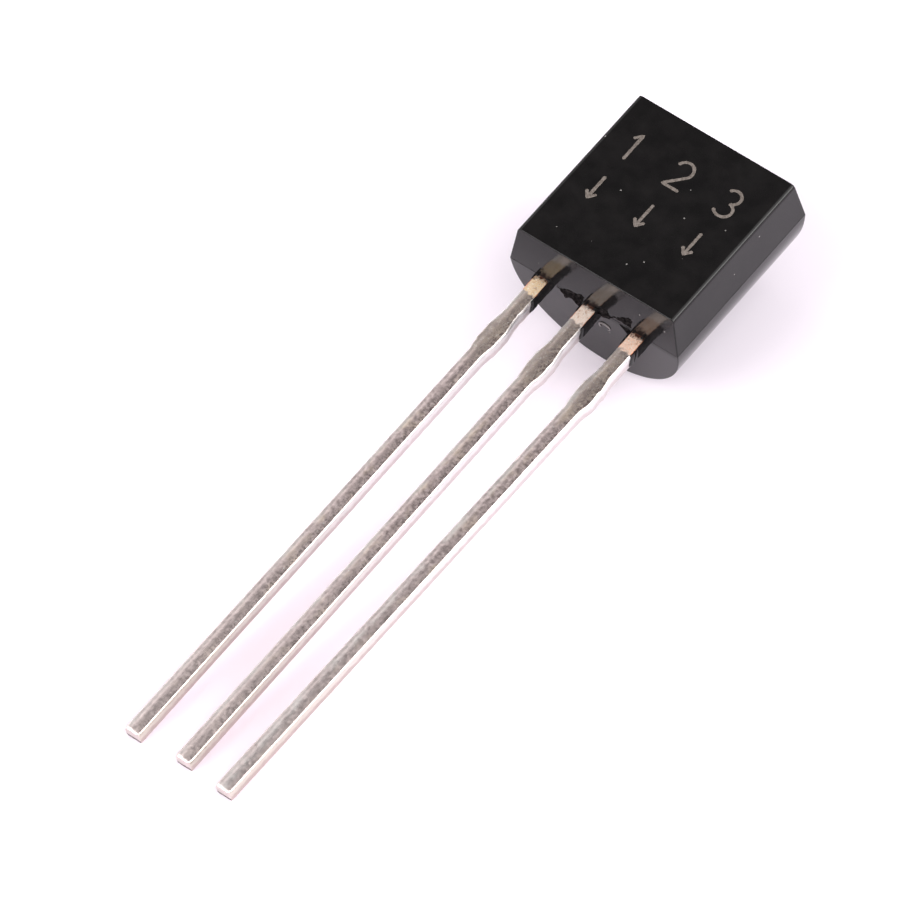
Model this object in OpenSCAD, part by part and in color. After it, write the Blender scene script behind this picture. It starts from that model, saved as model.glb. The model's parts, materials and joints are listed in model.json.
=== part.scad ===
// Three-lead TO-92 transistor, lying on its rounded back with the flat face up.
//
// Each sub-part is drawn in the package's own frame: X across the leads, Y along
// them towards the top of the body, Z out of the flat face. The mould's parting
// plane and the flat side of every lead lie at Z = 0. lying_down() then leans the
// package until the rim of its back and the tips of its leads touch the ground.

/* [Body] */
// Width across the round back, which is also the diameter of the back
body_w = 4.45; // [4.2:0.05:5.4]
// Height of the body along the leads, at the parting plane
body_h = 4.55; // [3.8:0.05:5.5]
// Distance from the parting plane to the flat face
front_d = 1.06; // [0.88:0.02:1.5]
// Width of the front half where it meets the back half
front_w = 4.36; // [4.1:0.02:4.44]
// Width of the flat face
flat_w = 4.1; // [3.5:0.02:4.3]
// How far each end of the flat face stands back from the parting plane's ends
flat_setback = 0.13; // [0.02:0.01:0.3]
// How far each end of the back's deepest line stands back in the same way
back_setback = 0.23; // [0.02:0.01:0.4]

/* [Leads] */
// Distance between neighbouring leads
lead_pitch = 1.27; // [1.2:0.01:1.4]
// Width of a lead
lead_w = 0.39; // [0.32:0.01:0.55]
// Thickness of the leadframe strip
lead_t = 0.37; // [0.3:0.01:0.51]
// Length of the leads outside the body
lead_len = 14; // [4:0.1:20]
// Sideways offset of the whole leadframe in the body
frame_shift = -0.07; // [-0.1:0.01:0.1]
// Sideways drift of the tip of lead 1
drift_1 = -0.01; // [-0.2:0.01:0.2]
// Sideways drift of the tip of lead 2
drift_2 = -0.01; // [-0.2:0.01:0.2]
// Sideways drift of the tip of lead 3
drift_3 = -0.17; // [-0.2:0.01:0.2]
// How much shorter lead 2 is cut
lead_2_short = 0.08; // [0:0.01:0.3]

/* [Dam bar remains] */
// Distance from the body to the middle of the cut dam bar
dam_at = 1.8; // [1.2:0.05:2.5]
// Length of the swelling that the dam bar leaves on a lead
dam_len = 1.1; // [0.6:0.05:1.6]
// Length of its straight middle
dam_mid = 0.4; // [0.1:0.05:0.55]
// How far it stands out on each side
dam_out = 0.055; // [0.01:0.005:0.15]

/* [Leadframe inside the body] */
// Width of the die paddle
paddle_w = 2.2; // [1.4:0.05:2.5]
// Height of the die paddle
paddle_h = 1.7; // [1:0.05:1.9]
// Distance from the top of the paddle to the top of the body
paddle_cover = 0.75; // [0.4:0.05:0.9]
// Gap between the paddle and the two bond posts
post_gap = 0.3; // [0.2:0.02:0.4]
// How far the emitter post reaches up beside the paddle
emitter_post_rise = 0.75; // [0.5:0.05:1]
// Outward reach of the emitter post beyond its lead
emitter_post_out = 0.18; // [0.05:0.01:0.25]
// Width of the base post
base_post_w = 0.76; // [0.5:0.02:0.9]
// Height of the base post
base_post_h = 0.6; // [0.4:0.02:0.7]
// Distance from the body's end to the mould lock in each lead
lock_at = 0.28; // [0.2:0.02:0.4]
// Height of the mould lock
lock_h = 0.2; // [0.1:0.02:0.3]
// Depth of the mould lock on each side of the lead
lock_d = 0.07; // [0.02:0.01:0.1]

/* [Die and wires] */
// Side of the square die
die_side = 0.66; // [0.4:0.02:1]
// Thickness of the die
die_t = 0.2; // [0.1:0.01:0.3]
// Thickness of the layer that holds the die
attach_t = 0.025; // [0.015:0.005:0.05]
// How far that layer shows around the die
attach_rim = 0.06; // [0.02:0.01:0.1]
// Diameter of a bond wire
wire_d = 0.038; // [0.025:0.001:0.05]
// Diameter of the ball where a wire meets the die
ball_d = 0.09; // [0.06:0.005:0.12]
// Height of the ball
ball_h = 0.035; // [0.02:0.005:0.05]
// Height of the control points of a wire's loop above its ends
loop_rise = 0.42; // [0.3:0.02:0.55]

/* [Hidden] */

round_facets = 128;
back_r = body_w / 2;

// Leaning and placing the package on the ground
back_lean = back_setback / back_r;
tilt = atan((back_r - lead_t) / (lead_len + back_setback));
deepest_end_y = (body_h - back_setback) * cos(tilt) + back_r * sin(tilt);
far_y = max(body_h * cos(tilt), deepest_end_y);
near_y = -lead_len * cos(tilt);
ground_z = back_setback * sin(tilt) - back_r * cos(tilt);

// Places of the leads and of what they carry
lead_1_x = frame_shift - lead_pitch;
lead_2_x = frame_shift;
lead_3_x = frame_shift + lead_pitch;
paddle_right = lead_3_x + lead_w / 2;
paddle_left = paddle_right - paddle_w;
paddle_top = body_h - paddle_cover;
paddle_foot = paddle_top - paddle_h;
emitter_post_top = paddle_foot + emitter_post_rise;
emitter_post_foot = paddle_foot - post_gap - base_post_h;
emitter_post_right = paddle_left - post_gap;
base_post_top = paddle_foot - post_gap;
base_post_foot = base_post_top - base_post_h;
die_x = (paddle_left + paddle_right) / 2;
die_y = (paddle_top + paddle_foot) / 2;
die_top = attach_t + die_t;
pad_reach = die_side / 5;

// Ends of the wires: on the die first, on the post second
emitter_pad = [die_x - pad_reach, die_y + pad_reach, die_top];
emitter_foot = [
    (lead_1_x - lead_w / 2 - emitter_post_out + emitter_post_right) / 2,
    emitter_post_top - lead_w / 2,
    0
];
base_pad = [die_x - pad_reach, die_y - pad_reach, die_top];
base_foot = [lead_2_x, base_post_top - base_post_h / 3, 0];
wire_rings = 14;
wire_sides = 8;

// A strip's outline from stations [y, left edge, right edge], lowest first
function outline(stations) = concat(
    [for (s = stations) [s[1], s[0]]],
    [for (i = [len(stations) - 1:-1:0]) [stations[i][2], stations[i][0]]]
);

// Middle of a lead at height y: straight near the body, drifting below the dam bar
function lead_mid(x, drift, y) =
    x + drift * max(0, -y - dam_at) / (lead_len - dam_at);

// One station of the plain lead, with "extra" added on each side
function station(x, drift, y, extra = 0) = [
    y,
    lead_mid(x, drift, y) - lead_w / 2 - extra,
    lead_mid(x, drift, y) + lead_w / 2 + extra
];

// The lead from its tip to the top of its mould lock
function lead_stations(x, drift, short = 0) = [
    station(x, drift, short - lead_len),
    station(x, drift, -dam_at - dam_len / 2),
    station(x, drift, -dam_at - dam_mid / 2, dam_out),
    station(x, drift, -dam_at + dam_mid / 2, dam_out),
    station(x, drift, -dam_at + dam_len / 2),
    station(x, drift, lock_at - lock_h / 2),
    station(x, drift, lock_at - lock_h / 2, -lock_d),
    station(x, drift, lock_at + lock_h / 2, -lock_d),
    station(x, drift, lock_at + lock_h / 2)
];

// A cubic curve's point and its direction
function curve_point(p, s) =
    pow(1 - s, 3) * p[0] + 3 * pow(1 - s, 2) * s * p[1]
    + 3 * (1 - s) * s * s * p[2] + pow(s, 3) * p[3];
function curve_slope(p, s) =
    pow(1 - s, 2) * (p[1] - p[0]) + 2 * (1 - s) * s * (p[2] - p[1])
    + s * s * (p[3] - p[2]);
function unit(v) = v / norm(v);

// One ring of a wire, square to its direction "along"
function ring(mid, along, side, r) = [
    for (i = [0:wire_sides - 1])
        let (turn = (i + 0.5) * 360 / wire_sides, up = cross(along, side))
            mid + r * (cos(turn) * side + sin(turn) * up)
];

// Joins rings of equal size into a closed solid
module sweep(rings) {
    n = len(rings[0]);
    last = (len(rings) - 1) * n;
    polyhedron(
        points = [for (r = rings, p = r) p],
        faces = concat(
            [[for (i = [0:n - 1]) i]],
            [
                for (k = [0:len(rings) - 2], i = [0:n - 1])
                    let (a = k * n + i, b = k * n + (i + 1) % n)
                        [a, a + n, b + n, b]
            ],
            [[for (i = [n - 1:-1:0]) last + i]]
        )
    );
}

// A wire that stands up from both of its ends: ball, neck and loop
module bond_wire(pad, foot) {
    rise = [0, 0, loop_rise];
    neck = pad + [0, 0, ball_h];
    bow = [neck, neck + rise, foot + rise, foot];
    side = unit(cross([0, 0, 1], foot - pad));
    sweep(concat(
        [
            ring(pad, [0, 0, 1], side, ball_d / 2),
            ring(pad + [0, 0, ball_h * 0.8], [0, 0, 1], side, ball_d / 2)
        ],
        [
            for (k = [0:wire_rings])
                let (s = k / wire_rings)
                    ring(curve_point(bow, s), unit(curve_slope(bow, s)), side, wire_d / 2)
        ]
    ));
}

// Leans the package and stands it on the ground, centred over the origin
module lying_down() {
    translate([0, -(far_y + near_y) / 2, -ground_z])
        rotate([tilt, 0, 0])
            children();
}

module strip(stations) {
    translate([0, 0, -lead_t])
        linear_extrude(lead_t)
            polygon(outline(stations));
}

module body_section() {
    polygon([
        [-front_w / 2, 0], [front_w / 2, 0],
        [flat_w / 2, front_d], [-flat_w / 2, front_d]
    ]);
    intersection() {
        circle(r = back_r, $fn = round_facets);
        translate([-back_r, -back_r])
            square([body_w, back_r]);
    }
}

// The body seen from the side: both halves lean inwards from the parting plane
module body_profile() {
    polygon([
        [0, 0],
        [flat_setback, front_d], [body_h - flat_setback, front_d],
        [body_h, 0],
        [body_h - back_setback, -back_r], [back_setback, -back_r]
    ]);
}

module body_block() {
    intersection() {
        translate([0, body_h, 0])
            rotate([90, 0, 0])
                linear_extrude(body_h)
                    body_section();
        translate([-back_r, 0, 0])
            rotate([90, 0, 90])
                linear_extrude(body_w)
                    body_profile();
    }
}

module emitter_strip() {
    left = lead_1_x - lead_w / 2 - emitter_post_out;
    strip(concat(
        lead_stations(lead_1_x, drift_1),
        [
            station(lead_1_x, drift_1, emitter_post_foot),
            [emitter_post_foot, left, emitter_post_right],
            [emitter_post_top, left, emitter_post_right]
        ]
    ));
}

module base_strip() {
    left = lead_2_x - base_post_w / 2;
    right = lead_2_x + base_post_w / 2;
    strip(concat(
        lead_stations(lead_2_x, drift_2, lead_2_short),
        [
            station(lead_2_x, drift_2, base_post_foot),
            [base_post_foot, left, right],
            [base_post_top, left, right]
        ]
    ));
}

module collector_strip() {
    strip(concat(
        lead_stations(lead_3_x, drift_3),
        [
            station(lead_3_x, drift_3, paddle_foot),
            [paddle_foot, paddle_left, paddle_right],
            [paddle_top, paddle_left, paddle_right]
        ]
    ));
}

module slab(side, foot, height) {
    translate([die_x - side / 2, die_y - side / 2, foot])
        cube([side, side, height]);
}

module attach_slab() {
    slab(die_side + 2 * attach_rim, 0, attach_t);
}

module die_slab() {
    slab(die_side, attach_t, die_t);
}

// The moulded epoxy, with room for everything it was moulded around
module body() {
    color("#2a2a2c")
        lying_down()
            difference() {
                body_block();
                emitter_strip();
                base_strip();
                collector_strip();
                attach_slab();
                die_slab();
                bond_wire(emitter_pad, emitter_foot);
                bond_wire(base_pad, base_foot);
            }
}

module emitter_lead() {
    color("#b8ada6")
        lying_down()
            emitter_strip();
}

module base_lead() {
    color("#b8ada6")
        lying_down()
            base_strip();
}

module collector_lead() {
    color("#b8ada6")
        lying_down()
            collector_strip();
}

module die_attach() {
    color("#8f8f94")
        lying_down()
            attach_slab();
}

module die() {
    color("#3d4452")
        lying_down()
            die_slab();
}

module emitter_bond_wire() {
    color("#d9b04a")
        lying_down()
            bond_wire(emitter_pad, emitter_foot);
}

module base_bond_wire() {
    color("#d9b04a")
        lying_down()
            bond_wire(base_pad, base_foot);
}

body();
emitter_lead();
base_lead();
collector_lead();
die_attach();
die();
emitter_bond_wire();
base_bond_wire();
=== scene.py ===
"""TO-92 transistor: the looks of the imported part, with its floor, light and camera.

The visible body and leads are modelled here in the package's own frame, in millimetres: X across the
leads, Y along them towards the top of the body, Z out of the flat face, with the mould's parting plane
and the flat side of the leads at Z = 0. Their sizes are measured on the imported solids.
"""

import json
import math
import random

import bmesh
import bpy
from mathutils import Matrix, Vector, noise


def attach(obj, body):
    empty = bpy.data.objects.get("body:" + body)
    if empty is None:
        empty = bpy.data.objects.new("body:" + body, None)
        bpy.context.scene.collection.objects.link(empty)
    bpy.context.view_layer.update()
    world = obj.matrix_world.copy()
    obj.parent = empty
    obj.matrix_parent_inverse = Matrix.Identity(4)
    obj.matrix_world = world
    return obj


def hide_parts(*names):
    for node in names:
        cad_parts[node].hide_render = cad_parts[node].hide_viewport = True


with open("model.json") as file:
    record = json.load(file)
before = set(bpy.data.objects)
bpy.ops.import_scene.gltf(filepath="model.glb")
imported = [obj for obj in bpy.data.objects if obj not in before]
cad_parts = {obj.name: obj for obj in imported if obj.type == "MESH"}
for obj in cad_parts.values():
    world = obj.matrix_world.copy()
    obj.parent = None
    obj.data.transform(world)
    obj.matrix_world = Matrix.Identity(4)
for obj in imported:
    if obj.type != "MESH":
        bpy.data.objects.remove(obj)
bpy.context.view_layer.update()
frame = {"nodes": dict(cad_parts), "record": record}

MM = 0.001
TINY = 1e-3  # a length too small to matter, in millimetres
SHARP_ANGLE = 34  # edges that turn further than this, in degrees, are drawn sharp

LEADS = ("emitter_lead", "base_lead", "collector_lead")

# Body, in millimetres
END_ROUND = 0.02  # radius between an end face and the sides
CORNER_ROUND = 0.11  # radius along the flat face's long edges
HOLD = 0.03  # width of the flat loops that keep the large faces' shading true
LEDGE = 0.004  # how far the back half stands out from the front half at the parting plane
CREASE = 0.02  # where the two halves of the end faces meet
ROUND_STEPS = 5
BACK_STEPS = 40
EPOXY, LINT, TORN = 0, 1, 2  # the body's material slots

# Flash on the lead end of the body, in millimetres
FLASH_ROOT = 0.02  # depth inside the body that the flash grows from
LINE_MARGIN = 0.05  # how far the parting line's flash stops short of the sides
LINE_STEPS = 260
LINE_HEIGHT = (0.002, 0.012)  # everywhere, and what its raggedness adds at most
LINE_THICK = (0.008, 0.003)
SKIN_STEPS = 16
SKIN_ROOT = 0.03
SKIN_RAG = 0.012  # raggedness of the skin's upper and lower edges
SKIN_FOOT = -0.33  # level of its lower edge
SKIN_AT = -0.2  # where along a lead its sides are measured for it
# The skin on the sides of a lead: outward direction, length on lead 1, how much longer it is on each
# next lead, thickness, seed
SKINS = ((-1, 0.14, 0.13, 0.01, 2.3), (1, 0.66, -0.06, 0.024, 7.7))
# Crumbs round each lead: how many, then ranges of their places and of their half-sizes
CRUMBS = 6
CRUMB_ASIDE = (0.1, 0.2)
CRUMB_ALONG = (-0.05, 0.01)
CRUMB_OUT = (-0.02, 0.012)
CRUMB_SIZES = ((0.015, 0.035), (0.015, 0.04), (0.008, 0.02))
# Smears of flash: the lead to their left, points (x, z) from that lead, half-width
SCAR_STEP = 0.018
SCAR_RAG = 0.03
SCAR_FLAT = 0.25  # height over half-width
SCARS = (
    (0, ((0.36, -0.04), (0.5, -0.09), (0.6, -0.06), (0.74, -0.13)), 0.022),
    (0, ((0.62, -0.05), (0.78, -0.1), (0.98, -0.07)), 0.028),
    (1, ((0.2, -0.12), (0.42, -0.03), (0.62, 0.07), (0.78, 0.1)), 0.024),
    (1, ((0.74, 0.12), (0.84, 0.2), (0.94, 0.14), (1.02, 0.17)), 0.02),
)
# Patches where it tore off: the lead to their left, outline points (x, z) from that lead
PATCH_STEP = 0.014
PATCH_RAG = 0.24  # raggedness of the outline, as a share of its size
PATCH_ROUGH = 0.004
PATCH_RINGS = ((1.0, 0.004), (0.9, 0.014), (0.62, 0.012), (0.34, 0.016))  # (share of the size, height)
PATCHES = (
    (0, ((0.44, -0.05), (0.62, 0.06), (0.78, 0.08), (0.96, 0.14), (1.07, 0.16), (1.06, -0.12),
         (0.94, -0.38), (0.84, -0.3), (0.76, -0.2), (0.64, -0.2), (0.55, -0.36), (0.47, -0.22))),
    (1, ((0.2, -0.06), (0.28, 0.12), (0.42, 0.13), (0.54, 0.0), (0.46, -0.13), (0.3, -0.22))),
    (1, ((0.7, 0.12), (0.88, 0.04), (1.06, 0.06), (1.08, 0.26), (0.98, 0.34), (0.86, 0.24))),
    (1, ((0.76, -0.07), (1.03, -0.05), (1.06, -0.42), (0.96, -0.36), (0.88, -0.2))),
)
# The curl of lint, with its middle's place across from lead 2
CURL_ASIDE = 0.33
CURL_LEVEL = -0.6
CURL_STEPS = 22
CURL_START = 215  # degrees
CURL_SWEEP = 270
CURL_WIDE = 0.15  # its radius at the start
CURL_CLOSES = 0.07  # how much smaller that is at the end
CURL_STRETCH = 1.2  # width over height
CURL_STANDS = 0.01  # how far its middle stands out of the end face
CURL_THIN = 0.009  # the thread's radius at its ends
CURL_THICKER = 0.014  # how much more it is between them

# Leads, in millimetres
ROLL_OVER = 0.085  # radius of the edges that the punch rolled over
BURR_SIDE = 0.03  # radius of the edges on the burr side
TIP_ROUND = 0.025
CROWN = 0.012  # how much the flat side stands up in its middle
TIP_ROLL = 0.12  # radius that the rolled-over edges grow to at a cut end
TIP_DROP = 0.03  # how far the shear pulled the flat side down at a cut end
TIP_REACH = 0.1  # length of that pulled-down stretch
TIP_SLANT = 0.06  # how far a cut end leans back at its lower edge
TEAR = 0.022  # raggedness of the edges where the dam bar was cut away
DAM_ZONE = (-2.4, -0.6)  # where along the leads the dam bar and its flash were
LEAD_STEP = 0.09  # distance between cross-sections outside the body
WOBBLE = 0.006  # unevenness of the strip's surface
EXIT_ZONE = (-0.3, 0.1)  # where along a lead its place at the body is measured
CROWN_STEPS = 6
BURR_STEPS = 3
TIP_STEPS = 3
PULL_STEPS = 4
LEAD_SEED = 13.7

# Marking: pin numbers and the arrows that point from them to their leads, in millimetres
STROKE = 0.072
MARK_HEIGHT = 0.003
DIGIT_H = 0.74
DIGIT_W = 0.44
NUMBER_ROW = 3.22
ARROW_ROW = 1.95
ARROW_LEN = 0.66
BARB = 0.13  # half the width of an arrow's head
BARB_SLOPE = 1.3
STROKE_STEP = 0.03
STROKE_JITTER = 0.22
STROKE_START = 1.18  # width where the beam starts and stops, as a share of the stroke's
STROKE_END = 0.35

# Camera, in degrees and millimetres; it aims beside the middle of the body's lead end
VIEW_AZIMUTH = 35.6
VIEW_ELEVATION = 50.3
VIEW_ROLL = 2.6
VIEW_DISTANCE = 194.4
LENS = 367.9
SENSOR = 36.0
AIM_LEFT = 3.03
AIM_DOWN = 3.02
FAR = 10  # metres


# ---------------------------------------------------------------- the package's own frame


def flat_mount():
    return next(m for m in frame["record"]["mounts"] if m["name"] == "flat_face")


def reach(node, axis):
    """Lowest and highest place of a CAD node along an axis, in metres."""
    places = [v.co.dot(axis) for v in frame["nodes"][node].data.vertices]
    return min(places), max(places)


ACROSS = Vector((1, 0, 0))
OUT = Vector(flat_mount()["axis"]).normalized()
ALONG = OUT.cross(ACROSS)
ORIGIN = ALONG * reach("body", ALONG)[0] + OUT * reach("emitter_lead", OUT)[1]
TURN = Matrix((ACROSS, ALONG, OUT)).transposed()
PLACE = Matrix.LocRotScale(ORIGIN, TURN, Vector((MM, MM, MM)))
PLACE_INVERSE = PLACE.inverted()


def package_points(node):
    """A CAD node's vertices in the package's frame, in millimetres."""
    return [PLACE_INVERSE @ v.co for v in frame["nodes"][node].data.vertices]


def add_piece(name, mesh, materials, replaced=None):
    """Turns a bmesh in the package's frame into a piece of the object."""
    bmesh.ops.recalc_face_normals(mesh, faces=mesh.faces)
    data = bpy.data.meshes.new(name)
    mesh.to_mesh(data)
    mesh.free()
    data.transform(PLACE)
    data.set_sharp_from_angle(angle=math.radians(SHARP_ANGLE))
    for material in materials:
        data.materials.append(material)
    piece = bpy.data.objects.new(name, data)
    bpy.context.scene.collection.objects.link(piece)
    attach(piece, "root")
    if replaced:
        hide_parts(replaced)


# ---------------------------------------------------------------- mesh helpers


def quarter(radius, steps=ROUND_STEPS):
    """A rounded edge's (distance in from one face, distance in from the other), along its arc."""
    turns = [math.pi / 2 * k / steps for k in range(steps + 1)]
    return [(radius * (1 - math.sin(t)), radius * (1 - math.cos(t))) for t in turns]


def loft(mesh, rings, material=0):
    """Skins closed rings of equal size, and returns the first and the last ring's vertices."""
    made = [[mesh.verts.new(p) for p in ring] for ring in rings]
    count = len(rings[0])
    for low, high in zip(made, made[1:]):
        for i in range(count):
            j = (i + 1) % count
            face = mesh.faces.new((low[i], low[j], high[j], high[i]))
            face.smooth = True
            face.material_index = material
    return made[0], made[-1]


def cap(mesh, verts, material=0, smooth=False):
    face = mesh.faces.new(verts)
    face.smooth = smooth
    face.material_index = material


def tube(mesh, path, radii, flat=1.0, normal=Vector((0, 0, 1)), sides=8, material=0):
    """A closed tube along path; flat squeezes its section along normal."""
    rings = []
    for k, point in enumerate(path):
        ahead = path[min(k + 1, len(path) - 1)] - path[max(k - 1, 0)]
        side = ahead.cross(normal).normalized()
        lift = side.cross(ahead).normalized()
        turns = [2 * math.pi * i / sides for i in range(sides)]
        rings.append(
            [
                point + radii[k] * (math.cos(t) * side + flat * math.sin(t) * lift)
                for t in turns
            ]
        )
    first, last = loft(mesh, rings, material)
    cap(mesh, first, material)
    cap(mesh, last, material)


def resample(points, step):
    """Points at most step apart on the line through the given ones."""
    out = [Vector(points[0])]
    for a, b in zip(points, points[1:]):
        a, b = Vector(a), Vector(b)
        count = max(1, math.ceil((b - a).length / step))
        out += [a.lerp(b, k / count) for k in range(1, count + 1)]
    return out


def chip(mesh, middle, size, seed):
    """A small crumb of moulding compound."""
    made = bmesh.ops.create_icosphere(mesh, subdivisions=2, radius=1)["verts"]
    for vert in made:
        bump = 1 + 0.35 * noise.noise(vert.co * 1.7 + Vector((seed * 7.3, 0, 0)))
        vert.co = middle + Vector(a * b * bump for a, b in zip(vert.co, size))
    for face in {f for v in made for f in v.link_faces}:
        face.material_index = EPOXY
        face.smooth = True


# ---------------------------------------------------------------- body


def measure_body():
    points = package_points("body")
    back_r = max(p.x for p in points)
    front_d = max(p.z for p in points)
    flat = [p for p in points if p.z > front_d - TINY]
    lowest = min(points, key=lambda p: (round(p.z, 3), p.y))
    return {
        "height": max(p.y for p in points),
        "back_r": back_r,
        "front_d": front_d,
        "flat_half": max(p.x for p in flat),
        "flat_lean": min(p.y for p in flat) / front_d,
        "back_lean": lowest.y / -lowest.z,
    }


BODY = measure_body()


def lean(z):
    """How far the end faces stand back at height z from the parting plane."""
    return z * BODY["flat_lean"] if z > 0 else -z * BODY["back_lean"]


def mitre(a, b):
    return (a + b) / (1 + a.dot(b))


def half_section():
    """The D section's right half from the lowest line of the back to the middle of the flat
    face, as (point, direction that an inset moves it against)."""
    back_r, top = BODY["back_r"], BODY["front_d"]
    foot, head = back_r - LEDGE, BODY["flat_half"]
    side_out = Vector((top, foot - head)).normalized()
    side_up = Vector((-side_out.y, side_out.x))
    up = Vector((0, 1))
    points = []
    for k in range(BACK_STEPS):
        turn = math.pi / 2 * (k / BACK_STEPS - 1)
        radial = Vector((math.cos(turn), math.sin(turn)))
        points.append((back_r * radial, radial))
    points.append((Vector((back_r, 0)), mitre(Vector((1, 0)), up)))
    points.append((Vector((foot, 0)), mitre(up, side_out)))
    points.append((Vector((foot, 0)) + side_up * CREASE, side_out))
    # The rounded long edge of the flat face
    corner = Vector((head, top))
    middle = corner - CORNER_ROUND * mitre(side_out, up)
    start = math.atan2(side_out.y, side_out.x)
    points.append((middle + CORNER_ROUND * side_out - side_up * HOLD, side_out))
    for k in range(ROUND_STEPS + 1):
        turn = start + (math.pi / 2 - start) * k / ROUND_STEPS
        radial = Vector((math.cos(turn), math.sin(turn)))
        points.append((middle + CORNER_ROUND * radial, radial))
    points.append((Vector((middle.x - HOLD, top)), up))
    return points


def section():
    """The whole closed D section."""
    right = half_section()
    left = [(Vector((-p.x, p.y)), Vector((-m.x, m.y))) for p, m in reversed(right[1:])]
    return right + left


def body_ring(outline, inset, setback, at_top):
    ring = []
    for point, out in outline:
        p = point - out * inset
        y = lean(p.y) + setback
        ring.append(Vector((p.x, BODY["height"] - y if at_top else y, p.y)))
    return ring


def add_end_cap(mesh, verts, outline):
    """Closes an end with its two leaning faces, which meet at the crease."""
    crease = [i for i, (p, _) in enumerate(outline) if abs(p.y - CREASE) < CREASE / 2]
    right, left = crease[0], crease[-1]
    cap(mesh, verts[right : left + 1])
    cap(mesh, verts[left:] + verts[: right + 1])


def ragged(place, seed, fine=31):
    """Unevenness between about -1 and 1 with small steps, like a torn edge."""
    coarse = noise.noise(Vector((place * 9, seed, 0.5)))
    return coarse + 0.7 * noise.noise(Vector((place * fine, 0.5, seed)))


def add_parting_flash(mesh):
    """The thin ragged line that the mould's joint leaves across the lead end of the body."""
    reach_x = BODY["back_r"] - LINE_MARGIN
    rings = []
    for k in range(LINE_STEPS + 1):
        x = -reach_x + 2 * reach_x * k / LINE_STEPS
        height = LINE_HEIGHT[0] + LINE_HEIGHT[1] * max(0, ragged(x, 3.1))
        thick = LINE_THICK[0] + LINE_THICK[1] * ragged(x, 5.5)
        # Root and edge below, then edge and root above
        rings.append(
            [
                Vector((x, FLASH_ROOT, -thick - 0.012)),
                Vector((x, -height, -0.4 * thick - 0.006)),
                Vector((x, -height, 0.2 * thick - 0.003)),
                Vector((x, FLASH_ROOT, thick)),
            ]
        )
    first, last = loft(mesh, rings)
    cap(mesh, first)
    cap(mesh, last)


def add_crumbs(mesh):
    """Torn crumbs of compound round the leads' exits."""
    rng = random.Random(5)
    for number, x in enumerate(LEAD_X):
        for n in range(CRUMBS):
            side = rng.choice((-1, 1)) * rng.uniform(*CRUMB_ASIDE)
            middle = Vector((x + side, rng.uniform(*CRUMB_ALONG), rng.uniform(*CRUMB_OUT)))
            size = [rng.uniform(*span) for span in CRUMB_SIZES]
            chip(mesh, middle, size, n + 40 + 10 * number)


def add_patch(mesh, outline, seed):
    """A torn patch of compound on the lead end, inside an outline of points (x, z)."""
    middle = sum((Vector(p) for p in outline), Vector((0, 0))) / len(outline)
    border = resample(outline + outline[:1], PATCH_STEP)[:-1]
    rings = []
    for share, height in PATCH_RINGS:
        ring = []
        for k, point in enumerate(border):
            reach_out = share + PATCH_RAG * ragged(k * PATCH_STEP, seed, 71)
            x, z = middle + (point - middle) * reach_out
            rough = PATCH_ROUGH * noise.noise(Vector((x * 60, z * 60, seed)))
            ring.append(Vector((x, lean(z) - height - rough, z)))
        rings.append(ring)
    _, last = loft(mesh, rings, TORN)
    cap(mesh, last, TORN, smooth=True)


def add_scar(mesh, points, width, seed):
    """A rough smear of torn compound on the lead end, along points (x, z)."""
    path, radii = [], []
    for k, (x, z) in enumerate(resample(points, SCAR_STEP)):
        shift = SCAR_RAG * ragged(k * SCAR_STEP, seed, 47)
        path.append(Vector((x, lean(z + shift), z + shift)))
        radii.append(width * (0.8 + 0.5 * ragged(k * SCAR_STEP, seed + 4, 61)))
    radii[0] = radii[-1] = width / 5
    tube(mesh, path, radii, flat=SCAR_FLAT, normal=Vector((0, 1, 0)), sides=6, material=TORN)


def add_side_flash(mesh, side_x, outward, length, skin, seed):
    """The skin of compound that bled along one side of a lead, between body and dam bar."""
    rings = []
    inner = side_x - outward * 0.04
    for k in range(SKIN_STEPS + 1):
        share = k / SKIN_STEPS
        y = SKIN_ROOT - (length + SKIN_ROOT) * k / SKIN_STEPS
        fade = min(1, (SKIN_STEPS - k) / 2 + 0.3)
        thick = outward * skin * (1 + 0.5 * ragged(y, seed)) * fade
        top = -0.012 - SKIN_RAG * ragged(y, seed + 3)
        foot = SKIN_FOOT - SKIN_RAG * ragged(y, seed + 6)
        # From inside the lead, down its side and back inside; the lower part reaches further along
        rings.append(
            [
                Vector((inner, y, top - 0.02)),
                Vector((side_x + 0.4 * thick, y, top)),
                Vector((side_x + thick, y, top - 0.05)),
                Vector((side_x + 1.1 * thick, y - 0.05 * share, (top + foot) / 2)),
                Vector((side_x + thick, y - 0.09 * share, foot + 0.03)),
                Vector((inner, y - 0.06 * share, foot)),
            ]
        )
    first, last = loft(mesh, rings)
    cap(mesh, first)
    cap(mesh, last)


def add_flash(mesh):
    add_parting_flash(mesh)
    add_crumbs(mesh)
    for number, node in enumerate(LEADS):
        _, left, right = min(stations(node), key=lambda row: abs(row[0] - SKIN_AT))
        for outward, length, longer, skin, seed in SKINS:
            side_x = left if outward < 0 else right
            add_side_flash(mesh, side_x, outward, length + longer * number, skin, seed + number)
    for number, points, width in SCARS:
        add_scar(mesh, [(LEAD_X[number] + x, z) for x, z in points], width, 4.1 + number)
    for number, points in PATCHES:
        add_patch(mesh, [Vector((LEAD_X[number] + x, z)) for x, z in points], 6.3 + number)


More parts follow.
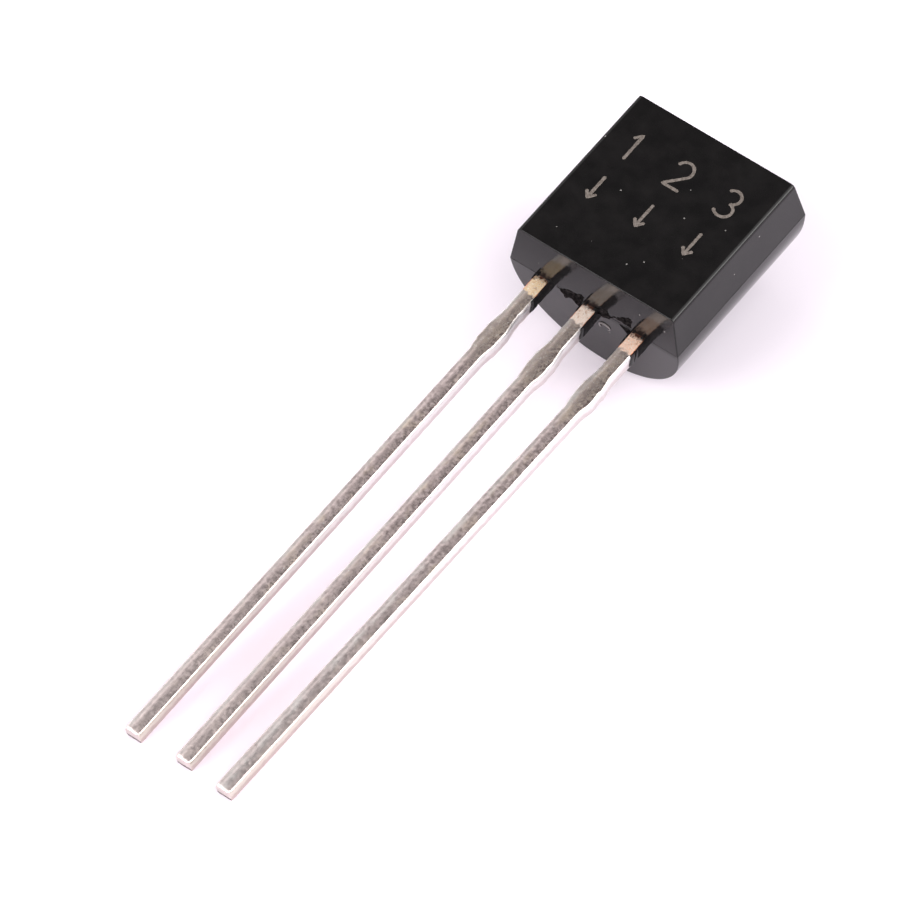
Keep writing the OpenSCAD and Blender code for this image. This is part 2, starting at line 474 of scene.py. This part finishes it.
def add_curl(mesh):
    """A curl of lint stuck to the lead end, between leads 2 and 3."""
    middle = Vector((LEAD_X[1] + CURL_ASIDE, 0, CURL_LEVEL))
    path, radii = [], []
    for k in range(CURL_STEPS + 1):
        turn = math.radians(CURL_START - CURL_SWEEP * k / CURL_STEPS)
        wide = CURL_WIDE - CURL_CLOSES * k / CURL_STEPS
        x = middle.x + CURL_STRETCH * wide * math.cos(turn)
        z = middle.z + wide * math.sin(turn)
        path.append(Vector((x, lean(z) - CURL_STANDS, z)))
        swell = math.sin(math.pi * min(1, 0.15 + k / CURL_STEPS))
        radii.append(CURL_THIN + CURL_THICKER * swell)
    tube(mesh, path, radii, normal=Vector((0, 1, 0)), sides=6, material=LINT)


def add_body(epoxy, lint, torn):
    mesh = bmesh.new()
    outline = section()
    rounding = quarter(END_ROUND)
    near = [(END_ROUND + HOLD, 0)] + rounding + [(0, END_ROUND + HOLD)]
    rings = [body_ring(outline, i, s, False) for i, s in near]
    rings += [body_ring(outline, i, s, True) for i, s in reversed(near)]
    first, last = loft(mesh, rings)
    add_end_cap(mesh, first, outline)
    add_end_cap(mesh, last, outline)
    add_flash(mesh)
    add_curl(mesh)
    add_piece("moulded_body", mesh, [epoxy, lint, torn], "body")


# ---------------------------------------------------------------- leads


def top_edges(node):
    """A lead's left and right edges on its flat side, as points from the tip upwards."""
    co = package_points(node)
    uses = {}
    for face in frame["nodes"][node].data.polygons:
        if all(co[v].z > -TINY for v in face.vertices):
            ring = [(round(co[v].x, 4), round(co[v].y, 4)) for v in face.vertices]
            for a, b in zip(ring, ring[1:] + ring[:1]):
                key = tuple(sorted((a, b)))
                uses[key] = uses.get(key, 0) + 1
    border = [key for key, n in uses.items() if n == 1]
    tip_y = min(p.y for p in co if p.z > -TINY)
    ends = sorted({p for edge in border for p in edge if p[1] < tip_y + TINY})
    left = walk(border, ends[0], ends[-1])
    right = walk(border, ends[-1], ends[0])
    return left, right


def walk(border, start, avoid):
    """Follows border edges from start, away from avoid, up to the top of the strip."""
    top = max(p[1] for edge in border for p in edge)
    path, here, before = [start], start, avoid
    while here[1] < top - TINY:
        for a, b in border:
            if here in (a, b):
                there = b if here == a else a
                if there != before:
                    break
        path.append(there)
        before, here = here, there
    return path


def edge_x(path, y):
    """Where an edge lies across the strip at height y."""
    for (x0, y0), (x1, y1) in zip(path, path[1:]):
        if y0 <= y <= y1 and y1 > y0:
            return x0 + (x1 - x0) * (y - y0) / (y1 - y0)
    return path[-1][0] if y > path[-1][1] else path[0][0]


def stations(node):
    """Cross-sections (y, left, right) of a lead from its tip to its top."""
    left, right = top_edges(node)
    corners = sorted({round(y, 3) for _, y in left + right})
    rows = []
    for low, high in zip(corners, corners[1:]):
        step = LEAD_STEP if low < 0 else 3 * LEAD_STEP
        count = max(1, round((high - low) / step))
        for k in range(count + 1):
            y = low + (high - low) * k / count
            inside = min(max(y, low + TINY), high - TINY)
            rows.append((y, edge_x(left, inside), edge_x(right, inside)))
    kept = [rows[0]]
    for row in rows[1:]:
        if max(abs(a - b) for a, b in zip(row, kept[-1])) > 2 * TINY:
            kept.append(row)
    return kept


def strip_section(left, right, low, high, shrink=0.0, roll_over=ROLL_OVER):
    """The strip's section: rolled-over upper edges, tighter lower ones, as (x, z) points."""
    left, right, low, high = left + shrink, right - shrink, low + shrink, high - shrink
    roll = min(roll_over, (right - left) / 2.2)
    burr = min(BURR_SIDE, (right - left) / 4)
    points = []
    for k in range(CROWN_STEPS + 1):
        share = k / CROWN_STEPS
        sag = CROWN * (2 * share - 1) ** 2
        points.append((left + roll + (right - left - 2 * roll) * share, high - sag))
    points += [(right - i, high - max(j, CROWN)) for i, j in quarter(roll)[1:]]
    points.append((right, (high + low) / 2))
    points += [(right - j, low + i) for i, j in quarter(burr, BURR_STEPS)]
    points.append(((left + right) / 2, low))
    points += [(left + i, low + j) for i, j in quarter(burr, BURR_STEPS)]
    points.append((left, (high + low) / 2))
    points += [(left + j, high - max(i, CROWN)) for i, j in quarter(roll)[:-1]]
    return points


def uneven(x, y, z, seed):
    """The strip's small unevenness, as a distance inwards."""
    coarse = noise.noise(Vector((x * 2.2 + seed, y * 1.1, z * 2.2)))
    fine = noise.noise(Vector((x * 9, y * 6, z * 9 + seed)))
    return WOBBLE * (0.5 + 0.35 * coarse + 0.3 * fine)


def lead_ring(y, left, right, thick, seed, shrink=0.0, pulled=0.0):
    """One cross-section; pulled goes from 0 to 1 as the flat side is drawn down towards a tip."""
    if DAM_ZONE[0] < y < DAM_ZONE[1]:
        left += TEAR * max(0, ragged(y, seed, 23))
        right -= TEAR * max(0, ragged(y, seed + 5, 23))
    middle, height = (left + right) / 2, -thick / 2
    roll = ROLL_OVER + (TIP_ROLL - ROLL_OVER) * pulled
    ring = []
    for x, z in strip_section(left, right, -thick, -TIP_DROP * pulled**2, shrink, roll):
        inward = Vector((middle - x, height - z)).normalized() * uneven(x, y, z, seed)
        # The underside stays where the part rests
        drop = inward.y if z > height else 0
        back = TIP_SLANT * pulled * z / -thick
        ring.append(Vector((x + inward.x, y + back, z + drop)))
    return ring


def add_lead(node, seed, material):
    thick = -min(p.z for p in package_points(node))
    rows = stations(node)
    (tip, left, right), (top, top_left, top_right) = rows[0], rows[-1]
    rings = []
    for inset, setback in quarter(TIP_ROUND, TIP_STEPS):
        pulled = 1 - setback / TIP_REACH
        rings.append(lead_ring(tip + setback, left, right, thick, seed, inset, pulled))
    for k in range(1, PULL_STEPS + 1):
        setback = TIP_ROUND + (TIP_REACH - TIP_ROUND) * k / PULL_STEPS
        pulled = 1 - setback / TIP_REACH
        rings.append(lead_ring(tip + setback, left, right, thick, seed, 0, pulled))
    for y, a, b in rows[1:-1]:
        if y > tip + TIP_REACH + TINY:
            rings.append(lead_ring(y, a, b, thick, seed))
    for inset, setback in reversed(quarter(TIP_ROUND, TIP_STEPS)):
        rings.append(lead_ring(top - setback, top_left, top_right, thick, seed, inset))
    mesh = bmesh.new()
    first, last = loft(mesh, rings)
    cap(mesh, first)
    cap(mesh, last)
    add_piece(node + "_strip", mesh, [material], node)


def lead_exit(node):
    """The middle of a lead where it leaves the body."""
    near = [(a + b) / 2 for y, a, b in stations(node) if EXIT_ZONE[0] < y < EXIT_ZONE[1]]
    return sum(near) / len(near)


LEAD_X = [lead_exit(node) for node in LEADS]


# ---------------------------------------------------------------- marking


def arc(cx, cy, rx, ry, start, end, steps=14):
    """Points along an ellipse, with angles in degrees."""
    turns = [math.radians(start + (end - start) * k / steps) for k in range(steps + 1)]
    return [(cx + rx * math.cos(t), cy + ry * math.sin(t)) for t in turns]


def digit_strokes(number):
    """A digit's strokes in a box one unit wide and one high, about its middle."""
    if number == 1:
        return [[(-0.28, 0.27), (0.05, 0.5), (0.05, -0.5)]]
    if number == 2:
        return [arc(0, 0.2, 0.46, 0.3, 165, -28) + [(-0.46, -0.5), (0.5, -0.5)]]
    return [arc(-0.02, 0.25, 0.42, 0.25, 150, -80), arc(-0.02, -0.24, 0.48, 0.26, 84, -155)]


def engrave(mesh, strokes, seed):
    """Lays strokes of uneven width on the flat face, a little wider where the beam starts."""
    top = BODY["front_d"]
    for n, stroke in enumerate(strokes):
        path = resample(stroke, STROKE_STEP)
        last = len(path) - 1
        points, radii = [], []
        for k, p in enumerate(path):
            jitter = noise.noise(Vector((p.x * 11, p.y * 11, seed + n)))
            start = STROKE_START if min(k, last - k) == 1 else 1.0
            end = STROKE_END if k in (0, last) else 1.0
            points.append(Vector((p.x, p.y, top)))
            radii.append(STROKE / 2 * (1 + STROKE_JITTER * jitter) * start * end)
        tube(mesh, points, radii, flat=MARK_HEIGHT / (STROKE / 2), sides=8)


def add_marking(ink):
    mesh = bmesh.new()
    for n, x in enumerate(LEAD_X):
        strokes = [
            [(x + DIGIT_W * a, NUMBER_ROW + DIGIT_H * b) for a, b in stroke]
            for stroke in digit_strokes(n + 1)
        ]
        engrave(mesh, strokes, 10 * n)
        foot = ARROW_ROW - ARROW_LEN / 2
        head = ARROW_ROW + ARROW_LEN / 2
        barb_y = foot + BARB_SLOPE * BARB
        arrow = [
            [(x, head), (x, foot)],
            [(x - BARB, barb_y), (x, foot), (x + BARB, barb_y)],
        ]
        engrave(mesh, arrow, 10 * n + 5)
    add_piece("pin_marking", mesh, [ink])


# ---------------------------------------------------------------- materials

RANGE_SOCKETS = ("From Min", "From Max", "To Min", "To Max")  # of a Map Range node


class Shader:
    """A node material with the few helpers that the materials below share."""

    def __init__(self, name):
        self.material = bpy.data.materials.new(name)
        self.material.use_nodes = True
        self.tree = self.material.node_tree
        self.bsdf = self.tree.nodes["Principled BSDF"]
        self.mm = self.package_mm()

    def node(self, kind, **settings):
        made = self.tree.nodes.new(kind)
        for key, value in settings.items():
            setattr(made, key, value)
        return made

    def feed(self, socket, value):
        """Links an output to a socket, or sets a plain value on it."""
        if isinstance(value, bpy.types.NodeSocket):
            self.tree.links.new(value, socket)
        else:
            socket.default_value = value

    def set(self, **values):
        for name, value in values.items():
            self.feed(self.bsdf.inputs[name.replace("_", " ")], value)

    def package_mm(self):
        """Coordinates in the package's frame, in millimetres."""
        coords = self.node("ShaderNodeTexCoord")
        mapping = self.node("ShaderNodeMapping", vector_type="TEXTURE")
        self.tree.links.new(coords.outputs["Object"], mapping.inputs["Vector"])
        mapping.inputs["Location"].default_value = ORIGIN
        mapping.inputs["Rotation"].default_value = TURN.to_euler()
        mapping.inputs["Scale"].default_value = (MM, MM, MM)
        return mapping.outputs["Vector"]

    def stretched(self, x, y, z):
        mapping = self.node("ShaderNodeMapping")
        self.feed(mapping.inputs["Vector"], self.mm)
        mapping.inputs["Scale"].default_value = (x, y, z)
        return mapping.outputs["Vector"]

    def noise(self, scale, detail=3.0, rough=0.5, vector=None):
        made = self.node("ShaderNodeTexNoise")
        self.feed(made.inputs["Vector"], vector or self.mm)
        made.inputs["Scale"].default_value = scale
        made.inputs["Detail"].default_value = detail
        made.inputs["Roughness"].default_value = rough
        return made.outputs["Fac"]

    def ramp(self, value, low, high, out_low=0.0, out_high=1.0):
        made = self.node("ShaderNodeMapRange", clamp=True)
        self.feed(made.inputs["Value"], value)
        for name, number in zip(RANGE_SOCKETS, (low, high, out_low, out_high)):
            made.inputs[name].default_value = number
        return made.outputs["Result"]

    def mix(self, factor, a, b):
        made = self.node("ShaderNodeMix", data_type="RGBA")
        colours = [s for s in made.inputs if s.type == "RGBA"]
        self.feed(made.inputs["Factor"], factor)
        for socket, value in zip(colours, (a, b)):
            self.feed(socket, value if isinstance(value, bpy.types.NodeSocket) else (*value, 1))
        return next(s for s in made.outputs if s.type == "RGBA")

    def math(self, operation, *values):
        made = self.node("ShaderNodeMath", operation=operation)
        for socket, value in zip(made.inputs, values):
            self.feed(socket, value)
        return made.outputs[0]

    def from_own_lead(self, across):
        """Distance across from the middle of the nearest lead."""
        middle = LEAD_X[1]
        pitch = (LEAD_X[2] - LEAD_X[0]) / 2
        return self.math("WRAP", self.math("SUBTRACT", across, middle), pitch / 2, -pitch / 2)

    def split_place(self):
        """Distances across, along and out of the flat side of the leads, in millimetres."""
        split = self.node("ShaderNodeSeparateXYZ")
        self.feed(split.inputs[0], self.mm)
        return split.outputs["X"], split.outputs["Y"], split.outputs["Z"]

    def facing(self):
        """How far the surface faces across and along the leads."""
        coords = self.node("ShaderNodeTexCoord")
        found = []
        for axis in (ACROSS, ALONG):
            made = self.node("ShaderNodeVectorMath", operation="DOT_PRODUCT")
            self.feed(made.inputs[0], coords.outputs["Normal"])
            made.inputs[1].default_value = axis
            found.append(made.outputs["Value"])
        return found

    def specks(self, scale, size, share):
        """Small dots in a share of the cells of a cell pattern."""
        cells = self.node("ShaderNodeTexVoronoi")
        self.feed(cells.inputs["Vector"], self.mm)
        cells.inputs["Scale"].default_value = scale
        split = self.node("ShaderNodeSeparateColor")
        self.feed(split.inputs[0], cells.outputs["Color"])
        dot = self.math("LESS_THAN", cells.outputs["Distance"], size * scale)
        chosen = self.math("LESS_THAN", split.outputs[0], share)
        return self.math("MULTIPLY", dot, chosen)

    def bump(self, height, depth_mm):
        made = self.node("ShaderNodeBump")
        self.feed(made.inputs["Height"], height)
        made.inputs["Distance"].default_value = depth_mm * MM
        self.feed(self.bsdf.inputs["Normal"], made.outputs["Normal"])


EPOXY_DARK, EPOXY_LIGHT = (0.0062, 0.0058, 0.006), (0.0098, 0.009, 0.0092)
EPOXY_IOR = 1.32
DUST = (0.19, 0.18, 0.175)


def epoxy_material():
    """Black moulding compound, glossy and slightly clouded, with specks of dust."""
    s = Shader("black_epoxy")
    cloud = s.noise(2.2, 4)
    grain = s.noise(26, 2)
    dust = s.specks(3.4, 0.019, 0.34)
    base = s.mix(s.ramp(cloud, 0.35, 0.7), EPOXY_DARK, EPOXY_LIGHT)
    s.set(Base_Color=s.mix(dust, base, DUST))
    haze = s.math("ADD", cloud, s.math("MULTIPLY", grain, 0.4))
    s.set(Roughness=s.ramp(haze, 0.5, 0.95, 0.06, 0.15), IOR=EPOXY_IOR)
    s.bump(s.math("ADD", grain, s.math("MULTIPLY", cloud, 1.5)), 0.0012)
    return s.material


TIN_DARK, TIN_LIGHT = (0.72, 0.585, 0.575), (0.97, 0.82, 0.805)
TIN_BUFF = (0.86, 0.72, 0.61)
TIN_AT_TIPS = (1.0, 0.87, 0.845)
STAIN, FLECK = (0.6, 0.5, 0.42), (0.95, 0.9, 0.86)
# Painted highlight: the colour that lightens the left edge of the leads' flat side
LEFT_EDGE_SHEEN = (0.9, 0.88, 0.87)
PIT = (0.27, 0.2, 0.19)
SPECK = (0.97, 0.93, 0.9)


def flat_side(s, place, coarse, blotch):
    """Mottled matt tin with a painted highlight along its left edge, pitted towards the right one."""
    across, along, _ = place
    own = s.from_own_lead(across)
    tin = s.mix(s.ramp(blotch, 0.35, 0.65), TIN_DARK, TIN_LIGHT)
    tin = s.mix(s.ramp(coarse, 0.5, 0.7), tin, TIN_BUFF)
    tin = s.mix(s.ramp(along, -6, -13, 0, 0.65), tin, TIN_AT_TIPS)
    # Stained and flecked between the dam bar's place and the body
    stain = s.math("MULTIPLY", s.ramp(along, -2.9, -2.2), s.ramp(blotch, 0.35, 0.6, 0.25, 0.8))
    tin = s.mix(stain, tin, STAIN)
    flecks = s.math("MULTIPLY", stain, s.ramp(s.noise(20, 2, 0.7), 0.56, 0.64))
    tin = s.mix(flecks, tin, FLECK)
    # Painted highlight: the left edge of each lead's flat side is lightened in patches, standing in
    # for light caught by its rounded edge
    left_edge_sheen = s.math("MULTIPLY", s.ramp(own, -0.05, -0.15), s.ramp(coarse, 0.4, 0.62, 0.1, 0.7))
    tin = s.mix(left_edge_sheen, tin, LEFT_EDGE_SHEEN)
    pitted = s.ramp(s.noise(21, 2, 0.6), 0.5, 0.6)
    pits = s.math("MULTIPLY", pitted, s.ramp(own, 0.0, 0.15, 0.08, 0.9))
    pits = s.math("MULTIPLY", pits, s.ramp(along, -13, -9, 0.6, 1))
    tin = s.mix(pits, tin, PIT)
    return s.mix(s.specks(7, 0.016, 0.18), tin, SPECK)


# The first pair is a painted highlight for the upper band of the leads' sides, the second their own
# duller colour
HIGHLIGHT_BAND_AT_BODY, HIGHLIGHT_BAND_AT_TIPS = (0.8, 0.785, 0.77), (0.67, 0.625, 0.555)
DULL_AT_BODY, DULL_AT_TIPS = (0.68, 0.62, 0.605), (0.56, 0.47, 0.43)


def sheared_side(s, place):
    """A lighter upper band, a painted highlight along the rolled-over edge, over a duller fractured
    one, both duller towards the tips.
    """
    _, along, out = place
    # Painted highlight: the upper band of each side is lighter, standing in for light caught along the
    # rolled-over edge
    highlight_band = s.mix(s.ramp(along, -6, -12), HIGHLIGHT_BAND_AT_BODY, HIGHLIGHT_BAND_AT_TIPS)
    dull = s.mix(s.ramp(along, -4, -11), DULL_AT_BODY, DULL_AT_TIPS)
    fracture = s.math("ADD", out, s.math("MULTIPLY", s.noise(6, 3, 0.6), 0.16))
    return s.mix(s.ramp(fracture, -0.09, -0.15), highlight_band, dull)


# The second colour is painted contact shade for the lower edge of a lead's cut end
CUT, CUT_CONTACT_SHADE = (0.64, 0.565, 0.54), (0.14, 0.115, 0.11)


def cut_end(s, place, blotch):
    """Bare metal with painted contact shade darkening its lower edge, where it meets the floor."""
    level = s.math("ADD", place[2], s.math("MULTIPLY", blotch, 0.08))
    # Painted shade: the cut end turns dark towards its lower edge
    return s.mix(s.ramp(level, -0.2, -0.25), CUT, CUT_CONTACT_SHADE)


COPPER_1, COPPER_2, COPPER_3 = (0.86, 0.64, 0.4), (0.86, 0.7, 0.6), (0.92, 0.62, 0.47)
COPPER_DARK = (0.58, 0.34, 0.21)
SOLDER = (0.95, 0.9, 0.85)
COPPER_SIDE = (0.75, 0.25, 0.12)
BROWNED = (0.07, 0.025, 0.015)


def bare_copper(s, across, edge, blotch, grain, sides):
    """Copper with solder left on it, of another tone on each lead, browned by the compound."""
    tone = s.mix(s.ramp(across, -1.0, -0.5), COPPER_1, COPPER_2)
    tone = s.mix(s.ramp(across, 0.3, 0.8), tone, COPPER_3)
    copper = s.mix(s.ramp(blotch, 0.34, 0.46), COPPER_DARK, tone)
    copper = s.mix(s.ramp(grain, 0.56, 0.62), copper, SOLDER)
    copper = s.mix(sides, copper, COPPER_SIDE)
    return s.mix(s.ramp(edge, 0.04, 0.13), copper, BROWNED)


def tin_material():
    """Tin plating that ends next to the body, where the copper is bare."""
    s = Shader("tinned_strip")
    coarse = s.noise(3.2, 5, 0.6, s.stretched(1, 0.45, 1))
    blotch = s.noise(11, 3, 0.6)
    grain = s.noise(60, 2)
    place = s.split_place()
    side_x, side_y = s.facing()
    sides = s.ramp(s.math("ABSOLUTE", side_x), 0.55, 0.8)
    ends = s.ramp(side_y, -0.5, -0.75)
    tin = s.mix(sides, flat_side(s, place, coarse, blotch), sheared_side(s, place))
    tin = s.mix(ends, tin, cut_end(s, place, blotch))
    edge = s.math("ADD", place[1], s.math("MULTIPLY", blotch, 0.35))
    copper = bare_copper(s, place[0], edge, blotch, grain, sides)
    bare = s.ramp(edge, -0.36, -0.3)
    s.set(Base_Color=s.mix(bare, tin, copper), Metallic=s.ramp(bare, 0, 1, 1, 0.7))
    rough = s.ramp(s.math("ADD", blotch, s.math("MULTIPLY", coarse, 0.5)), 0.5, 1.0, 0.32, 0.48)
    s.set(Roughness=s.math("ADD", rough, s.math("MULTIPLY", bare, 0.12)))
    s.bump(s.math("ADD", blotch, s.math("MULTIPLY", grain, 0.25)), 0.0035)
    return s.material


def mottled(name, pattern, spread, colours, roughness, depth_mm=0.0, **values):
    """A material whose noise pattern moves it between two colours and two roughnesses. The two
    spreads are the ranges of the pattern over which the colour and the roughness change."""
    s = Shader(name)
    fleck = s.noise(*pattern)
    low, high = spread[0]
    s.set(Base_Color=s.mix(s.ramp(fleck, low, high), *colours))
    low, high = spread[1]
    s.set(Roughness=s.ramp(fleck, low, high, *roughness), **values)
    if depth_mm:
        s.bump(fleck, depth_mm)
    return s.material


def mark_material():
    """Compound burnt grey by a laser."""
    colours = ((0.085, 0.068, 0.058), (0.17, 0.145, 0.13))
    spread = ((0.35, 0.65), (0.3, 0.7))
    return mottled("laser_mark", (22, 3, 0.6), spread, colours, (0.55, 0.75), 0.002)


def lint_material():
    colours = ((0.16, 0.15, 0.15), (0.3, 0.28, 0.28))
    return mottled("lint", (40,), ((0, 1), (0, 1)), colours, (0.6, 0.8))


def torn_material():
    """Compound that was torn, matt and almost black."""
    colours = ((0.002, 0.002, 0.002), (0.035, 0.03, 0.031))
    spread = ((0.4, 0.7), (0.3, 0.7))
    rough = (0.6, 0.85)
    return mottled("torn_epoxy", (14, 4, 0.7), spread, colours, rough, 0.01, Specular_IOR_Level=0.0)


def silicon_material():
    colours = ((0.16, 0.18, 0.23), (0.25, 0.27, 0.33))
    return mottled("silicon", (4,), ((0, 1), (0.3, 0.7)), colours, (0.1, 0.2), Metallic=0.8)


def silver_epoxy_material():
    colours = ((0.4, 0.4, 0.41), (0.66, 0.66, 0.67))
    spread = ((0, 1), (0.3, 0.7))
    return mottled("silver_adhesive", (70, 2), spread, colours, (0.5, 0.7), 0.003, Metallic=0.4)


def gold_material():
    colours = ((0.9, 0.62, 0.22), (1.0, 0.76, 0.36))
    return mottled("gold_wire", (50, 2), ((0, 1), (0.3, 0.7)), colours, (0.15, 0.28), Metallic=1.0)


def dress_node(name, material):
    """Gives a CAD node that stays its finish."""
    data = frame["nodes"][name].data
    data.materials.clear()
    data.materials.append(material)


# ---------------------------------------------------------------- floor, light and camera

FLOOR_RADIUS = 1.5  # metres
FLOOR_DROP = 2e-6  # metres below the part, so that they don't share a plane
FLOOR_COLOUR = (0.93, 0.868, 0.95)
FLOOR_ROUGHNESS = 0.9

# The room, from floor level up: a bright horizon, darker walls and a bright ceiling. Angles are in
# degrees, and brightness is in the units of the background's strength.
ROOM_COLOUR = (1.0, 0.985, 0.98)
HORIZON = 1.1
HORIZON_BAND = (2, 7)  # it fades into the walls between these elevations
WALLS = 0.48
CEILING = 3.5
WALL_FOOT = 16  # the walls brighten into the ceiling between this elevation and the next
WALL_HEAD = 50
# Patches of other brightness: azimuth, elevation, brightness, half-width of the even part, half-width
# to the outer edge. The flat face and the flat sides of the leads mirror the two dark ones.
ROOM = (
    (195, 68, 0.08, 24, 52),
    (0, 75, 0.05, 15, 33),
    (-20, 40, 8.5, 9, 19),
    (95, 50, 2.8, 8, 38),
    (114, 24, 8.0, 7, 16),
)


def add_floor():
    mesh = bmesh.new()
    bmesh.ops.create_circle(mesh, cap_ends=True, segments=96, radius=FLOOR_RADIUS)
    data = bpy.data.meshes.new("floor")
    mesh.to_mesh(data)
    mesh.free()
    material = bpy.data.materials.new("white_floor")
    material.use_nodes = True
    bsdf = material.node_tree.nodes["Principled BSDF"]
    bsdf.inputs["Base Color"].default_value = (*FLOOR_COLOUR, 1)
    bsdf.inputs["Roughness"].default_value = FLOOR_ROUGHNESS
    bsdf.inputs["Specular IOR Level"].default_value = 0.0
    data.materials.append(material)
    floor = bpy.data.objects.new("floor", data)
    bpy.context.scene.collection.objects.link(floor)
    floor.location.z = -FLOOR_DROP


def direction(azimuth, elevation):
    """Towards a viewer at that azimuth and elevation; azimuth 0 is in front, looking along +Y."""
    a, e = math.radians(azimuth), math.radians(elevation)
    return Vector((math.sin(a) * math.cos(e), -math.cos(a) * math.cos(e), math.sin(e)))


def soft_step(tree, value, low, high, out_low=0.0, out_high=1.0):
    """Goes smoothly from out_low to out_high while a value goes from low to high."""
    made = tree.nodes.new("ShaderNodeMapRange")
    made.interpolation_type = "SMOOTHSTEP"
    for name, number in zip(RANGE_SOCKETS, (low, high, out_low, out_high)):
        made.inputs[name].default_value = number
    tree.links.new(value, made.inputs["Value"])
    return made.outputs["Result"]


def blend_level(tree, share, level, other):
    """Moves a level towards another brightness by a share."""
    made = tree.nodes.new("ShaderNodeMix")
    made.inputs["B"].default_value = other
    tree.links.new(share, made.inputs["Factor"])
    tree.links.new(level, made.inputs["A"])
    return made.outputs["Result"]


def patch_share(tree, coords, towards, core, edge):
    """1 within core degrees of a direction, and 0 from edge degrees outwards."""
    aim = tree.nodes.new("ShaderNodeVectorMath")
    aim.operation = "DOT_PRODUCT"
    aim.inputs[1].default_value = towards
    tree.links.new(coords, aim.inputs[0])
    outer, inner = math.cos(math.radians(edge)), math.cos(math.radians(core))
    return soft_step(tree, aim.outputs["Value"], outer, inner)


def add_world():
    """A plain room that lights the part softly from all round, with the patches of ROOM."""
    world = bpy.data.worlds.new("studio")
    bpy.context.scene.world = world
    world.use_nodes = True
    tree = world.node_tree
    coords = tree.nodes.new("ShaderNodeTexCoord").outputs["Generated"]
    split = tree.nodes.new("ShaderNodeSeparateXYZ")
    tree.links.new(coords, split.inputs[0])
    height = split.outputs["Z"]
    foot, head = math.sin(math.radians(WALL_FOOT)), math.sin(math.radians(WALL_HEAD))
    level = soft_step(tree, height, foot, head, WALLS, CEILING)
    for azimuth, elevation, brightness, core, edge in ROOM:
        share = patch_share(tree, coords, direction(azimuth, elevation), core, edge)
        level = blend_level(tree, share, level, brightness)
    even, faded = (math.sin(math.radians(angle)) for angle in HORIZON_BAND)
    level = blend_level(tree, soft_step(tree, height, faded, even), level, HORIZON)
    sky = tree.nodes["Background"]
    tree.links.new(level, sky.inputs["Strength"])
    sky.inputs["Color"].default_value = (*ROOM_COLOUR, 1)


def add_camera():
    back = direction(VIEW_AZIMUTH, VIEW_ELEVATION)
    right = Vector((0, 0, 1)).cross(back).normalized()
    up = back.cross(right)
    roll = Matrix.Rotation(math.radians(VIEW_ROLL), 3, back)
    right, up = roll @ right, roll @ up
    aim = ORIGIN - right * AIM_LEFT * MM - up * AIM_DOWN * MM
    data = bpy.data.cameras.new("camera")
    data.lens = LENS
    data.sensor_width = SENSOR
    data.clip_start = VIEW_DISTANCE * MM / 10
    data.clip_end = FAR
    camera = bpy.data.objects.new("camera", data)
    bpy.context.scene.collection.objects.link(camera)
    axes = Matrix((right, up, back)).transposed().to_4x4()
    camera.matrix_world = Matrix.Translation(aim + back * VIEW_DISTANCE * MM) @ axes
    bpy.context.scene.camera = camera


tin = tin_material()
add_body(epoxy_material(), lint_material(), torn_material())
for number, lead in enumerate(LEADS):
    add_lead(lead, LEAD_SEED * number, tin)
add_marking(mark_material())
dress_node("die", silicon_material())
dress_node("die_attach", silver_epoxy_material())
gold = gold_material()
dress_node("emitter_bond_wire", gold)
dress_node("base_bond_wire", gold)

add_floor()
add_world()
add_camera()
bpy.context.scene.view_settings.view_transform = "Standard"
